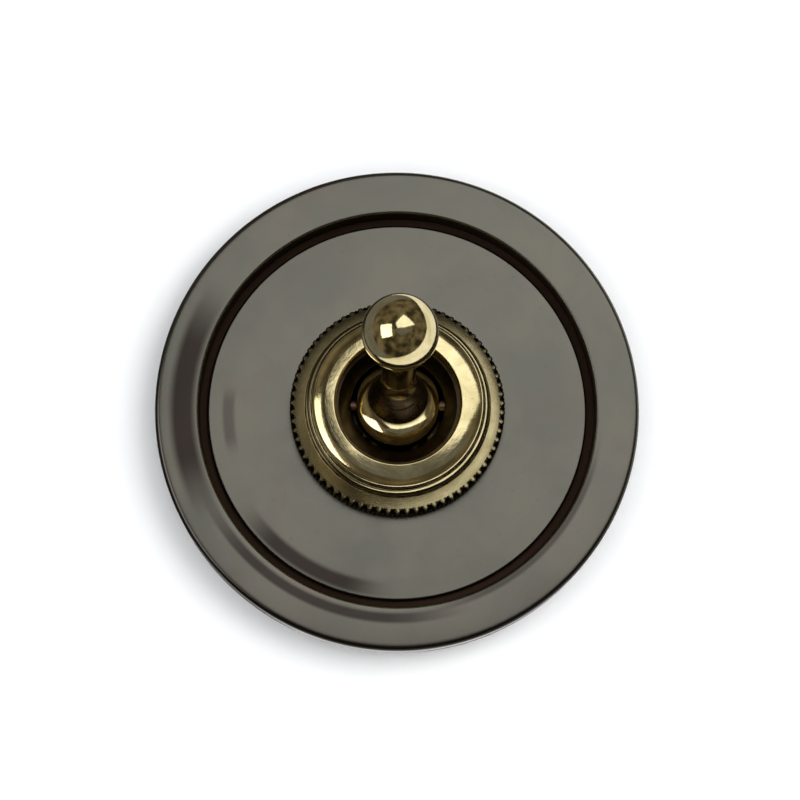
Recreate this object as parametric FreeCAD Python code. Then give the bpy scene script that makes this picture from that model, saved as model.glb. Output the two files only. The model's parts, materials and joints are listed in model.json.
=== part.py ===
"""Round toggle wall switch: metal plate, knurled brass ring nut, toggle lever and snap mechanism.

Lengths are millimetres. The origin is the centre of the wall plane, +Z is up, +X is right and the
front faces -Y. A depth is a distance in front of the wall plane, so y = -depth, and a negative
depth lies inside the wall box. Most pieces are turned about the Y axis, so their outlines are
(radius, depth) points.
"""
import FreeCAD, Part
import math
import os

# Plate
PLATE_R = 45.0              # outer radius of the frame
RIM_WALL = 1.6              # thickness of the rim that stands on the wall
FRAME_INNER_R = 36.9        # radius of the opening in the frame
FRAME_CREST = 7.0           # depth of the highest point of the frame
FLANGE_R = 33.6             # inner radius of the frame's seat for the disc
DISC_R = 35.5
DISC_BACK, DISC_FRONT = 1.9, 3.1
SEAT_BACK = 1.2             # back of the frame's seat

# Mounting bridge: the steel disc that the plate and the mechanism hang on
BRIDGE_R = 36.0
BRIDGE_BACK, BRIDGE_FRONT = 0.15, 1.15
BOX_SCREW_X = 30.0          # half of the 60 mm spacing of wall-box screws
BOX_SLOT_LENGTH, BOX_SLOT_R = 8.0, 2.1
EARTH_AT = 20.9             # the earth screw's x and z, both negative

# Threaded bush and ring nut
BUSH_R = 12.0
BUSH_BORE_R = 8.6
BUSH_FRONT = 12.2
BUSH_FLANGE_R, BUSH_FLANGE_BACK = 16.5, -1.85
THREAD_PITCH, THREAD_DEPTH, THREAD_TURNS = 1.5, 0.65, 5
NUT_R = 20.0
NUT_TEETH, TOOTH_DEPTH = 70, 0.9
LAND_R = NUT_R - TOOTH_DEPTH
NUT_HOLE_R = 11.4
NUT_CREST = 15.3
LAND_INNER_R = 17.2         # the sloping land behind the bead runs from here out to LAND_R
DOME_R = 15.86              # outer radius of the domed front
RUNNING_FIT = 0.08          # radial clearance of the nut on the bush

# Lever, measured along its own axis from the pivot
PIVOT_DEPTH = 9.0
LEVER_TILT = 18.0           # each side of square to the wall
HUB_R = 8.0
NECK_SEAT = 6.75            # flat on the ball that the neck stands on
NECK_R, NECK_BASE_R = 3.05, 4.2
KNOB_CENTRE = 29.0
KNOB_R, KNOB_HALF_LENGTH = 6.85, 7.2
PIVOT_PIN_R = 1.25
SLEEVE_R, SLEEVE_END = 3.0, 15.0
SLEEVE_BORE_R, SLEEVE_BORE_START = 2.06, 3.2
PLUNGER_R, PLUNGER_HEAD = 2.0, 11.0
PLUNGER_TIP_CENTRE = 18.0

# Rocker, measured from its own pivot
ROCKER_DEPTH = -18.0
ROCKER_TILT = 10.0          # each side of level
ROCKER_PIN_R = 1.0
CRADLE_R = 7.1              # hollow that the plunger's tip rolls in
CRADLE_CENTRE = 14.0        # distance of that hollow's axis in front of the rocker's pivot
STRIP_BACK, STRIP_THICK = 2.2, 1.0
STRIP_HALF_LENGTH = 11.2
TIP_REACH = 9.6             # distance of each moving contact from the rocker's pivot
TIP_R, TIP_SPHERE_R, TIP_HEIGHT = 1.9, 3.0, 1.4

# Housing and terminals
HOUSING_R = 24.0
SPLIT_FRONT, SPLIT_REAR, HOUSING_BACK = -12.0, -25.6, -31.0
CONTACT_BACK, CONTACT_FRONT = -25.6, -24.6
CONTACT_GAP = 0.08
CAGE_NEAR, CAGE_FAR = 13.5, 20.5
CAGE_HALF_WIDTH = 3.5
CAGE_BACK, CAGE_FRONT = -28.0, -20.0
WIRE_R = 1.7
WIRE_ENTRY_R = 1.9
SCREW_AT = 14.2             # x and z of the four assembly screws
SCREW_R, SCREW_HEAD_R = 1.5, 2.9
JOIN = 0.05                 # gap left where two housing parts meet

V = FreeCAD.Vector
ORIGIN = V(0, 0, 0)
AXIS_X, AXIS_Y, AXIS_Z = V(1, 0, 0), V(0, 1, 0), V(0, 0, 1)
PIVOT = V(0, -PIVOT_DEPTH, 0)
ROCKER_PIVOT = V(0, -ROCKER_DEPTH, 0)


def face(steps, place):
    """Face inside an outline. A step is a point, or a (middle, end) pair of points for an arc."""
    edges, here = [], place(*steps[0])
    for step in steps[1:] + steps[:1]:
        if isinstance(step[0], tuple):
            middle, end = place(*step[0]), place(*step[1])
            edges.append(Part.Arc(here, middle, end).toShape())
        else:
            end = place(*step)
            edges.append(Part.LineSegment(here, end).toShape())
        here = end
    return Part.Face(Part.Wire(edges))


def turned(steps):
    """Solid of revolution about the Y axis from (radius, depth) steps."""
    solid = face(steps, lambda r, depth: V(r, -depth, 0)).revolve(ORIGIN, AXIS_Y, 360)
    return solid if solid.Volume > 0 else solid.reversed()


def ring(outer_r, inner_r, back, front):
    return turned([(inner_r, back), (outer_r, back), (outer_r, front), (inner_r, front)])


def rod(r, back, front, x=0.0, z=0.0):
    return Part.makeCylinder(r, front - back, V(x, -back, z), V(0, -1, 0))


def cross_rod(r, half_length, depth):
    return Part.makeCylinder(r, 2 * half_length, V(-half_length, -depth, 0), AXIS_X)


def block(x0, x1, back, front, z0, z1):
    return Part.makeBox(x1 - x0, front - back, z1 - z0, V(x0, -front, z0))


def tilted(shape, pivot, degrees):
    """Turn a piece about the X axis. A positive angle lowers what is in front of the pivot."""
    return shape.rotated(pivot, AXIS_X, degrees)


def slotted_screw(shank_r, head_r, head_height, length, thread_end_chamfer=0.3):
    """Cheese-head screw along -Z, with the underside of its head at the origin."""
    slot_width, slot_depth = 0.28 * head_r, 0.45 * head_height
    shank = Part.makeCylinder(shank_r, length, V(0, 0, -length), AXIS_Z)
    shank = shank.makeChamfer(thread_end_chamfer, [shank.Edges[2]])
    head = Part.makeCylinder(head_r, head_height)
    head = head.makeFillet(0.2 * head_height, [head.Edges[0]])
    slot = Part.makeBox(2 * head_r, slot_width, slot_depth,
                        V(-head_r, -slot_width / 2, head_height - slot_depth))
    return head.cut(slot).fuse(shank)


def outer_frame():
    """Pressed metal ring: rim on the wall, convex face, inner wall and the seat for the disc."""
    inner_wall_r = FRAME_INNER_R + 1.2
    rim_r = PLATE_R - RIM_WALL
    return turned([
        (rim_r, 0), (PLATE_R, 0), (PLATE_R, FRAME_CREST - 1.3),
        ((PLATE_R - 0.28, FRAME_CREST - 0.6), (PLATE_R - 0.9, FRAME_CREST - 0.2)),
        ((PLATE_R - 4.0, FRAME_CREST), (FRAME_INNER_R + 0.5, FRAME_CREST - 0.15)),
        ((FRAME_INNER_R + 0.15, FRAME_CREST - 0.3), (FRAME_INNER_R, FRAME_CREST - 0.65)),
        (FRAME_INNER_R, DISC_BACK), (FLANGE_R, DISC_BACK), (FLANGE_R, SEAT_BACK),
        (inner_wall_r, SEAT_BACK), (inner_wall_r, 5.1),
        ((PLATE_R - 4.0, 5.4), (rim_r, 4.9))])


def cover_disc():
    edge = 0.55
    return turned([
        (BUSH_R + 0.3, DISC_BACK), (DISC_R, DISC_BACK), (DISC_R, DISC_FRONT - edge),
        ((DISC_R - 0.16, DISC_FRONT - 0.16), (DISC_R - edge, DISC_FRONT)),
        (BUSH_R + 0.3, DISC_FRONT)])


def mounting_bridge():
    plate = ring(BRIDGE_R, BUSH_R + 0.2, BRIDGE_BACK, BRIDGE_FRONT)
    half_run = BOX_SLOT_LENGTH / 2 - BOX_SLOT_R
    through = (BRIDGE_BACK - 1, BRIDGE_FRONT + 1)
    for side in (-1, 1):
        x = side * BOX_SCREW_X
        slot = block(x - half_run, x + half_run, *through, -BOX_SLOT_R, BOX_SLOT_R)
        for end in (-half_run, half_run):
            slot = slot.fuse(rod(BOX_SLOT_R, *through, x=x + end))
        plate = plate.cut(slot.removeSplitter())
    for x, z in screw_places():
        plate = plate.cut(rod(SCREW_R, *through, x=x, z=z))
    return plate.cut(rod(SCREW_R, *through, x=-EARTH_AT, z=-EARTH_AT))


def screw_places():
    return [(x, z) for x in (-SCREW_AT, SCREW_AT) for z in (-SCREW_AT, SCREW_AT)]


def earth_terminal():
    """Clamp plate with one raised lip, and the slotted screw that holds it on the bridge."""
    half, thick, lip = 3.6, 0.8, 1.6
    clamp = block(-EARTH_AT - half, -EARTH_AT + half, BRIDGE_BACK - thick, BRIDGE_BACK,
                  -EARTH_AT - half, -EARTH_AT + half)
    raised = block(-EARTH_AT - half, -EARTH_AT + half, BRIDGE_BACK - thick - lip, BRIDGE_BACK - thick,
                   -EARTH_AT - half, -EARTH_AT - half + thick)
    hole = rod(SCREW_R + 0.15, -6, 2, x=-EARTH_AT, z=-EARTH_AT)
    screw = slotted_screw(SCREW_R, 2.7, 1.8, thick + BRIDGE_FRONT - BRIDGE_BACK)
    screw.rotate(ORIGIN, AXIS_X, -90)
    screw.translate(V(-EARTH_AT, thick - BRIDGE_BACK, -EARTH_AT))
    return clamp.fuse(raised).removeSplitter().cut(hole), screw


def threaded_bush():
    """Brass bush: rear flange, thread as ring grooves, bore, flared mouth and the pin's cross hole."""
    mouth_r, mouth_floor, thread_start = 10.9, 10.2, 3.9
    root_r = BUSH_R - THREAD_DEPTH
    steps = [(BUSH_BORE_R, BUSH_FLANGE_BACK), (BUSH_FLANGE_R, BUSH_FLANGE_BACK),
             (BUSH_FLANGE_R, BRIDGE_BACK), (BUSH_R, BRIDGE_BACK)]
    for turn in range(THREAD_TURNS):
        start = thread_start + turn * THREAD_PITCH
        steps += [(BUSH_R, start), (root_r, start + 0.5 * THREAD_PITCH - 0.15),
                  (root_r, start + 0.5 * THREAD_PITCH + 0.15), (BUSH_R, start + THREAD_PITCH - 0.05)]
    steps += [(BUSH_R, BUSH_FRONT - 0.25), (BUSH_R - 0.25, BUSH_FRONT), (mouth_r, BUSH_FRONT),
              (BUSH_BORE_R, mouth_floor)]
    return turned(steps).cut(cross_rod(PIVOT_PIN_R + 0.02, BUSH_R + 1, PIVOT_DEPTH))


def knurled_ring_nut():
    """Brass ring nut: toothed skirt, sloping land, small bead, and a shallow dome up to the hole."""
    bore_r = BUSH_R + RUNNING_FIT
    washer_floor, underside = 3.5, DISC_FRONT + 0.05
    blank = turned([
        (bore_r, washer_floor), (17.8, washer_floor), (17.8, underside), (NUT_R - 0.45, underside),
        (NUT_R, 3.6), (NUT_R, 7.3), (LAND_R, 8.2),
        ((18.25, 9.3), (LAND_INNER_R, 10.1)), (17.0, 9.95), (16.85, 10.4),
        ((16.75, 12.1), (16.15, 12.9)), (DOME_R + 0.04, 12.7), (DOME_R, NUT_CREST - 1.72),
        ((15.71, NUT_CREST - 1.12), (15.29, NUT_CREST - 0.67)),
        ((14.34, NUT_CREST - 0.25), (13.3, NUT_CREST - 0.08)),
        (NUT_HOLE_R + 0.35, NUT_CREST), (NUT_HOLE_R, NUT_CREST - 0.3),
        (NUT_HOLE_R, BUSH_FRONT + 0.15), (bore_r, BUSH_FRONT + 0.15)])
    tip_half_width = 0.16
    star = []
    for tooth in range(NUT_TEETH):
        for offset, r in ((-0.5, LAND_R), (-tip_half_width, NUT_R), (tip_half_width, NUT_R)):
            angle = 2 * math.pi * (tooth + offset) / NUT_TEETH
            star.append(V(r * math.sin(angle), 0, r * math.cos(angle)))
    outline = Part.Face(Part.makePolygon(star + star[:1]))
    teeth = outline.extrude(V(0, -20, 0))
    crown = blank.common(rod(LAND_R, 0, 20))
    return blank.common(teeth).fuse(crown).removeSplitter()


def toggle_hub():
    """Brass ball on the pivot pin, with a hollow sleeve behind it for the plunger and its spring."""
    stud_hole_r, stud_hole_floor = 1.6, 3.2
    ball = Part.makeSphere(HUB_R, PIVOT)
    seat = rod(HUB_R, PIVOT_DEPTH + NECK_SEAT, PIVOT_DEPTH + HUB_R + 1)
    sleeve = rod(SLEEVE_R, PIVOT_DEPTH - SLEEVE_END, PIVOT_DEPTH)
    bore = rod(SLEEVE_BORE_R, PIVOT_DEPTH - SLEEVE_END - 1, PIVOT_DEPTH - SLEEVE_BORE_START)
    stud_hole = rod(stud_hole_r, PIVOT_DEPTH + stud_hole_floor, PIVOT_DEPTH + HUB_R)
    hub = ball.cut(seat).fuse(sleeve).removeSplitter()
    hub = hub.cut(bore).cut(stud_hole).cut(cross_rod(PIVOT_PIN_R + 0.05, HUB_R + 1, PIVOT_DEPTH))
    return tilted(hub, PIVOT, -LEVER_TILT)


def toggle_knob():
    """Stud, waisted neck and egg-shaped knob in one piece of turned brass."""
    stud_r, stud_end = 1.58, 3.6
    egg_centre = V(0, -PIVOT_DEPTH - KNOB_CENTRE, 0)
    join_angle = math.pi - math.asin(NECK_R / KNOB_R)
    egg = Part.Ellipse(V(0, egg_centre.y - KNOB_HALF_LENGTH, 0), V(KNOB_R, egg_centre.y, 0), egg_centre)
    egg_edge = Part.ArcOfEllipse(egg, 0, join_angle).toShape()
    join = V(NECK_R, egg_centre.y - KNOB_HALF_LENGTH * math.cos(join_angle), 0)
    points = [V(r, -PIVOT_DEPTH - t, 0) for r, t in
              ((0, stud_end), (stud_r, stud_end), (stud_r, NECK_SEAT), (NECK_BASE_R, NECK_SEAT))]
    waist = V(NECK_R + 0.32, -PIVOT_DEPTH - NECK_SEAT - 2.4, 0)
    neck_end = V(NECK_R, -PIVOT_DEPTH - NECK_SEAT - 6.0, 0)
    tip = V(0, egg_centre.y - KNOB_HALF_LENGTH, 0)
    edges = [Part.LineSegment(a, b).toShape() for a, b in zip(points, points[1:])]
    edges += [Part.Arc(points[-1], waist, neck_end).toShape(),
              Part.LineSegment(neck_end, join).toShape(), egg_edge,
              Part.LineSegment(tip, points[0]).toShape()]
    outline = Part.Face(Part.Wire(Part.__sortEdges__(edges)))
    knob = outline.revolve(ORIGIN, AXIS_Y, 360)
    return tilted(knob if knob.Volume > 0 else knob.reversed(), PIVOT, -LEVER_TILT)


def plunger():
    """Steel plunger with a ball end, sliding in the lever's sleeve."""
    tip_depth = PIVOT_DEPTH - PLUNGER_TIP_CENTRE
    shaft = rod(PLUNGER_R, tip_depth, PIVOT_DEPTH - PLUNGER_HEAD)
    return tilted(shaft.fuse(Part.makeSphere(PLUNGER_R, V(0, -tip_depth, 0))).removeSplitter(),
                  PIVOT, -LEVER_TILT)


def plunger_spring():
    """Compression spring behind the plunger, as separate rings one coil apart."""
    wire_r, mean_r, coils = 0.25, 1.6, 8
    start, end = SLEEVE_BORE_START + wire_r + 0.02, PLUNGER_HEAD - wire_r - 0.02
    rings = [Part.makeTorus(mean_r, wire_r, V(0, -PIVOT_DEPTH + start + i * (end - start) / (coils - 1), 0),
                            AXIS_Y) for i in range(coils)]
    return tilted(Part.makeCompound(rings), PIVOT, -LEVER_TILT)


def rocker_cradle():
    """Insulating block on the rocker; the plunger's tip bears in its hollow front."""
    half_width, half_height = 3.3, 5.8
    front = math.sqrt(CRADLE_R ** 2 - half_height ** 2) - CRADLE_CENTRE
    back = STRIP_BACK - STRIP_THICK
    shape = face([(half_height, front), ((0, CRADLE_R - CRADLE_CENTRE), (-half_height, front)),
                  (-half_height, -3.0), (-3.4, back), (3.4, back), (half_height, -3.0)],
                 lambda w, v: V(-half_width, ROCKER_PIVOT.y + v, w)).extrude(V(2 * half_width, 0, 0))
    shape = shape.cut(cross_rod(ROCKER_PIN_R + 0.05, half_width + 1, ROCKER_DEPTH))
    return tilted(shape, ROCKER_PIVOT, ROCKER_TILT)


def contact_rocker():
    """Brass strip that carries a contact at each end, with two ears on the rocker's pin."""
    half_width, ear_in, ear_out, ear_height, ear_front = 4.5, 3.5, 4.5, 2.2, 1.9
    rear = ROCKER_DEPTH - STRIP_BACK
    strip = block(-half_width, half_width, rear, rear + STRIP_THICK, -STRIP_HALF_LENGTH, STRIP_HALF_LENGTH)
    strip = strip.makeFillet(1.8, [e for e in strip.Edges if abs(e.Length - STRIP_THICK) < 1e-6])
    for side in (-1, 1):
        x0, x1 = sorted((side * ear_in, side * ear_out))
        strip = strip.fuse(block(x0, x1, rear + STRIP_THICK / 2, ROCKER_DEPTH + ear_front,
                                 -ear_height, ear_height))
    strip = strip.removeSplitter().cut(cross_rod(ROCKER_PIN_R + 0.05, ear_out + 1, ROCKER_DEPTH))
    return tilted(strip, ROCKER_PIVOT, ROCKER_TILT)


def contact_button(height, base_depth, z, towards_front):
    """Domed silver contact, standing on a strip's face at base_depth."""
    drop = TIP_SPHERE_R - math.sqrt(TIP_SPHERE_R ** 2 - TIP_R ** 2)
    half_drop = TIP_SPHERE_R - math.sqrt(TIP_SPHERE_R ** 2 - (TIP_R / 2) ** 2)
    sign = 1 if towards_front else -1
    profile = [(0, base_depth), (TIP_R, base_depth), (TIP_R, base_depth + sign * (height - drop)),
               ((TIP_R / 2, base_depth + sign * (height - half_drop)), (0, base_depth + sign * height))]
    button = turned(profile)
    button.translate(V(0, 0, z))
    return button


def moving_contact(side):
    button = contact_button(TIP_HEIGHT, ROCKER_DEPTH - STRIP_BACK, side * TIP_REACH, False)
    return tilted(button, ROCKER_PIVOT, ROCKER_TILT)


def closed_contact():
    """Height (z) and depth of the rearmost point of a moving contact when its side is closed."""
    tilt = math.radians(ROCKER_TILT)
    sphere_v = STRIP_BACK + TIP_HEIGHT - TIP_SPHERE_R
    rearward = sphere_v * math.cos(tilt) + TIP_REACH * math.sin(tilt) + TIP_SPHERE_R
    return TIP_REACH * math.cos(tilt) - sphere_v * math.sin(tilt), ROCKER_DEPTH - rearward


def fixed_contact(side):
    """Strip from a terminal to the place of its contact."""
    near = 6.8
    z0, z1 = sorted((side * near, side * CAGE_NEAR))
    return block(-2.6, 2.6, CONTACT_BACK, CONTACT_FRONT, z0, z1)


def fixed_button(side):
    z, depth = closed_contact()
    return contact_button(depth - CONTACT_GAP - CONTACT_FRONT, CONTACT_FRONT, side * z, True)


def common_terminal():
    """Bent bracket: two ears hold the rocker's pin, and a tail leads to the common terminal."""
    ear_in, ear_out, half_height, ear_front = 5.2, 6.2, 2.2, -16.0
    bracket = block(-ear_out, CAGE_NEAR, CONTACT_BACK, CONTACT_FRONT, -half_height, half_height)
    for side in (-1, 1):
        x0, x1 = sorted((side * ear_in, side * ear_out))
        bracket = bracket.fuse(block(x0, x1, CONTACT_BACK, ear_front, -half_height, half_height))
    return bracket.removeSplitter().cut(cross_rod(ROCKER_PIN_R + 0.02, ear_out + 1, ROCKER_DEPTH))


def radial(shape, where):
    """Turn a terminal piece drawn at the top to the top, the bottom or the right-hand side."""
    return shape.rotated(ORIGIN, AXIS_Y, {"upper": 0, "lower": 180, "common": 90}[where])


def terminal_cage(where):
    centre = (CAGE_NEAR + CAGE_FAR) / 2
    cage = block(-CAGE_HALF_WIDTH, CAGE_HALF_WIDTH, CAGE_BACK, CAGE_FRONT, CAGE_NEAR, CAGE_FAR)
    cage = cage.makeChamfer(0.35, cage.Edges)
    cage = cage.cut(rod(WIRE_R, CAGE_BACK - 1, CAGE_FRONT - 1.5, z=centre))
    depth = (CAGE_BACK + CAGE_FRONT) / 2
    screw_hole = Part.makeCylinder(SCREW_R + 0.03, CAGE_FAR - centre + 1, V(0, -depth, centre), AXIS_Z)
    return radial(cage.cut(screw_hole), where)


def terminal_screw(where):
    """Headless slotted screw, backed out so that the wire hole is free."""
    centre, depth, length, slot = (CAGE_NEAR + CAGE_FAR) / 2, (CAGE_BACK + CAGE_FRONT) / 2, 3.6, 0.7
    start = centre + WIRE_R + 0.1
    screw = Part.makeCylinder(SCREW_R, length, V(0, -depth, start), AXIS_Z)
    groove = Part.makeBox(4 * SCREW_R, slot, slot, V(-2 * SCREW_R, -depth - slot / 2, start + length - slot))
    return radial(screw.cut(groove), where)


def housing_front():
    body = rod(HOUSING_R, SPLIT_FRONT, BRIDGE_BACK - JOIN)
    body = body.cut(rod(BUSH_FLANGE_R + 0.1, BUSH_FLANGE_BACK - JOIN, 1)).cut(rod(9.2, -13, 1))
    for x, z in screw_places():
        body = body.cut(rod(SCREW_R + 0.15, -13, 1, x=x, z=z))
    return body


def housing_barrel():
    """Moulded middle of the housing, with a T-shaped chamber for the rocker and the terminals."""
    back, front = SPLIT_REAR + JOIN, SPLIT_FRONT - JOIN
    through = (back - 1, front + 1)
    body = rod(HOUSING_R, back, front)
    chamber = block(-7.2, 7.2, *through, -21.0, 21.0).fuse(block(0, 21.0, *through, -4.0, 4.0))
    body = body.cut(chamber.removeSplitter())
    for x, z in screw_places():
        body = body.cut(rod(SCREW_R + 0.15, *through, x=x, z=z))
    depth = (CAGE_BACK + CAGE_FRONT) / 2
    for where in ("upper", "lower", "common"):
        access = Part.makeCylinder(2.2, 6, V(0, -depth, 20), AXIS_Z)
        body = body.cut(radial(access, where))
    return body


def housing_rear_plate():
    """Rear cover: pockets that hold the terminals, wire entries and screw counterbores."""
    body = rod(HOUSING_R, HOUSING_BACK, SPLIT_REAR)
    centre, slack = (CAGE_NEAR + CAGE_FAR) / 2, 0.06
    for where in ("upper", "lower", "common"):
        pocket = block(-CAGE_HALF_WIDTH - slack, CAGE_HALF_WIDTH + slack, CAGE_BACK - slack, 0,
                       CAGE_NEAR - slack, CAGE_FAR + slack)
        entry = rod(WIRE_ENTRY_R, HOUSING_BACK - 1, CAGE_BACK, z=centre)
        body = body.cut(radial(pocket.fuse(entry), where))
    for x, z in screw_places():
        body = body.cut(rod(SCREW_R + 0.15, HOUSING_BACK - 1, 0, x=x, z=z))
        body = body.cut(rod(SCREW_HEAD_R + 0.2, HOUSING_BACK - 1, HOUSING_BACK + 2.4, x=x, z=z))
    return body


def assembly_screws():
    head_seat, head_height = HOUSING_BACK + 2.4, 2.0
    screws = []
    for x, z in screw_places():
        screw = slotted_screw(SCREW_R - 0.01, SCREW_HEAD_R, head_height, BRIDGE_FRONT - head_seat)
        screw.rotate(ORIGIN, AXIS_X, -90)
        screw.translate(V(x, -head_seat, z))
        screws.append(screw)
    return Part.makeCompound(screws)


def all_parts():
    earth_clamp, earth_screw = earth_terminal()
    parts = {
        "outer_frame": outer_frame(),
        "cover_disc": cover_disc(),
        "mounting_bridge": mounting_bridge(),
        "earth_clamp": earth_clamp,
        "earth_screw": earth_screw,
        "threaded_bush": threaded_bush(),
        "bush_spacer": ring(18.0, BUSH_R + 0.2, BRIDGE_FRONT, DISC_BACK),
        "ring_washer": ring(17.5, BUSH_R + 0.6, DISC_FRONT, DISC_FRONT + 0.35),
        "knurled_ring_nut": knurled_ring_nut(),
        "pivot_pin": cross_rod(PIVOT_PIN_R, 11.2, PIVOT_DEPTH),
        "toggle_hub": toggle_hub(),
        "toggle_knob": toggle_knob(),
        "plunger": plunger(),
        "plunger_spring": plunger_spring(),
        "rocker_cradle": rocker_cradle(),
        "contact_rocker": contact_rocker(),
        "rocker_tip_upper": moving_contact(1),
        "rocker_tip_lower": moving_contact(-1),
        "rocker_pin": cross_rod(ROCKER_PIN_R, 6.6, ROCKER_DEPTH),
        "common_terminal": common_terminal(),
        "fixed_contact_upper": fixed_contact(1),
        "fixed_contact_lower": fixed_contact(-1),
        "fixed_tip_upper": fixed_button(1),
        "fixed_tip_lower": fixed_button(-1),
        "housing_front": housing_front(),
        "housing_barrel": housing_barrel(),
        "housing_rear_plate": housing_rear_plate(),
        "assembly_screws": assembly_screws(),
    }
    for where in ("upper", "lower", "common"):
        parts["terminal_cage_" + where] = terminal_cage(where)
        parts["terminal_screw_" + where] = terminal_screw(where)
    return parts


os.makedirs("parts", exist_ok=True)
for name, shape in all_parts().items():
    if not shape.isValid() or not all(solid.isClosed() for solid in shape.Solids):
        raise ValueError(name + " is not a closed, valid solid")
    shape.exportStep("parts/" + name + ".step")
    print(name, len(shape.Solids), round(shape.Volume, 1))
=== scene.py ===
import json
import math

import bmesh
import bpy
from mathutils import Matrix, Vector


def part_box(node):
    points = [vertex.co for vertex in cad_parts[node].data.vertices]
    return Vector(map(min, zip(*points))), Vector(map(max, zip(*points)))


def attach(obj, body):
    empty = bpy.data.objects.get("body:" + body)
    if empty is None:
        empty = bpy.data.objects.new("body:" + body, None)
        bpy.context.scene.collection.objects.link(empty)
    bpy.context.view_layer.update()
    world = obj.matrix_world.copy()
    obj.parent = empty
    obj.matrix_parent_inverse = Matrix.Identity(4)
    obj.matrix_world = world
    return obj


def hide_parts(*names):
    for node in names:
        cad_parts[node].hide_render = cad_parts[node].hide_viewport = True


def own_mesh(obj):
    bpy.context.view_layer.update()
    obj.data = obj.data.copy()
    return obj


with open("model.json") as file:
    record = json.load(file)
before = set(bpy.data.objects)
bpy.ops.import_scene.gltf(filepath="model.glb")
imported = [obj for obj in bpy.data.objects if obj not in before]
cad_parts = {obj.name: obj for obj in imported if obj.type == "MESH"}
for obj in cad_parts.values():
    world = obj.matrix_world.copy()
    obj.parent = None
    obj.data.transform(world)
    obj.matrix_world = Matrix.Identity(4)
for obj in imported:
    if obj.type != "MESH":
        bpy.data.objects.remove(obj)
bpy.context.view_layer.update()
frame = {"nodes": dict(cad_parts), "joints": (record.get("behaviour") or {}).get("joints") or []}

# Outlines are (radius, depth, corner radius) points in millimetres. A depth is a distance in front
# of the wall plane, or along the lever's own axis from its pivot. Meshes are in metres.
MM = 0.001
TURN = 2 * math.pi
FINE, MEDIUM, COARSE = 288, 144, 64         # segments round a turned piece
CORNER_STEP = math.radians(11)              # largest turn between two points of a rounded corner
CORNER_SUPPORT = 0.05                       # from a rounded corner to the point that holds its shading
AXIS_X, AXIS_Y, AXIS_Z = Vector((1, 0, 0)), Vector((0, 1, 0)), Vector((0, 0, 1))


# ---------------------------------------------------------------- sizes read from the frame

def low(node):
    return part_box(node)[0] / MM


def high(node):
    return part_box(node)[1] / MM


def joint(name):
    return next(j for j in frame["joints"] if j["name"] == name)


def depths(node):
    """(back, front) depth of a node."""
    return -high(node).y, -low(node).y


PLATE_R = high("outer_frame").x
CREST = -low("outer_frame").y
DISC_R = high("cover_disc").x
SEAM_WIDTH = 1.4                            # between the disc's edge and the ring
FRAME_INNER_R = DISC_R + SEAM_WIDTH
DISC_BACK, DISC_FRONT = depths("cover_disc")
NUT_R = high("knurled_ring_nut").x
NUT_CREST = -low("knurled_ring_nut").y
BRIDGE_R = high("mounting_bridge").x
BRIDGE_BACK, BRIDGE_FRONT = depths("mounting_bridge")
BUSH_FLANGE_R = high("threaded_bush").x
BUSH_BACK, BUSH_FRONT = depths("threaded_bush")
HOUSING_R = high("housing_front").x
HOUSING_BACK = -high("housing_rear_plate").y
SPLIT_FRONT, SPLIT_REAR = -high("housing_front").y, -low("housing_rear_plate").y
SCREW_R, SCREW_HEAD_R, SCREW_SINK = 1.5, 2.9, 2.4
SCREW_AT = high("assembly_screws").x - SCREW_HEAD_R
PIVOT = Vector(joint("lever_toggle")["pos_m"])
LEVER_AXIS = Vector(joint("plunger_slide")["axis"])
LEVER_TILT = math.atan2(LEVER_AXIS.z, -LEVER_AXIS.y)
PIVOT_DEPTH = -PIVOT.y / MM

NUT_TEETH, TOOTH_DEPTH = 70, 0.9
LAND_R = NUT_R - TOOTH_DEPTH
TOOTH_PITCH = TURN * NUT_R / NUT_TEETH
BUSH_R, BUSH_BORE_R = 12.0, 8.6
PIN_R = high("pivot_pin").z
HUB_R, NECK_SEAT, NECK_BASE_R = 8.0, 6.75, 4.2
CAGE_X = (low("terminal_cage_common").x + high("terminal_cage_common").x) / 2
CAGE_DEPTH = sum(depths("terminal_cage_common")) / 2
OVERRUN = 1                                 # how far a cutter goes past the face it cuts
CORNERS = [(sx * SCREW_AT, sz * SCREW_AT) for sx in (-1, 1) for sz in (-1, 1)]


# ---------------------------------------------------------------- outlines

def rounded(points):
    """Closed outline with each corner rounded to its own radius, and a supporting point beside each arc."""
    out = []
    for i, (r, depth, corner) in enumerate(points):
        here = Vector((r, depth))
        before = Vector(points[i - 1][:2]) - here
        after = Vector(points[(i + 1) % len(points)][:2]) - here
        if corner == 0:
            out.append(here)
            continue
        half = before.angle(after) / 2
        reach = min(corner / math.tan(half), 0.47 * before.length, 0.47 * after.length)
        corner = reach * math.tan(half)
        lengths = before.length, after.length
        before.normalize()
        after.normalize()
        centre = here + (before + after).normalized() * (corner / math.sin(half))
        start, end = here + before * reach - centre, here + after * reach - centre
        turn = start.angle_signed(end)
        steps = max(2, math.ceil(abs(turn) / CORNER_STEP))
        side = reach + CORNER_SUPPORT
        if lengths[0] > 2 * side:
            out.append(here + before * side)
        for k in range(steps + 1):
            out.append(centre + Matrix.Rotation(-turn * k / steps, 2) @ start)
        if lengths[1] > 2 * side:
            out.append(here + after * side)
    return out


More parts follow.
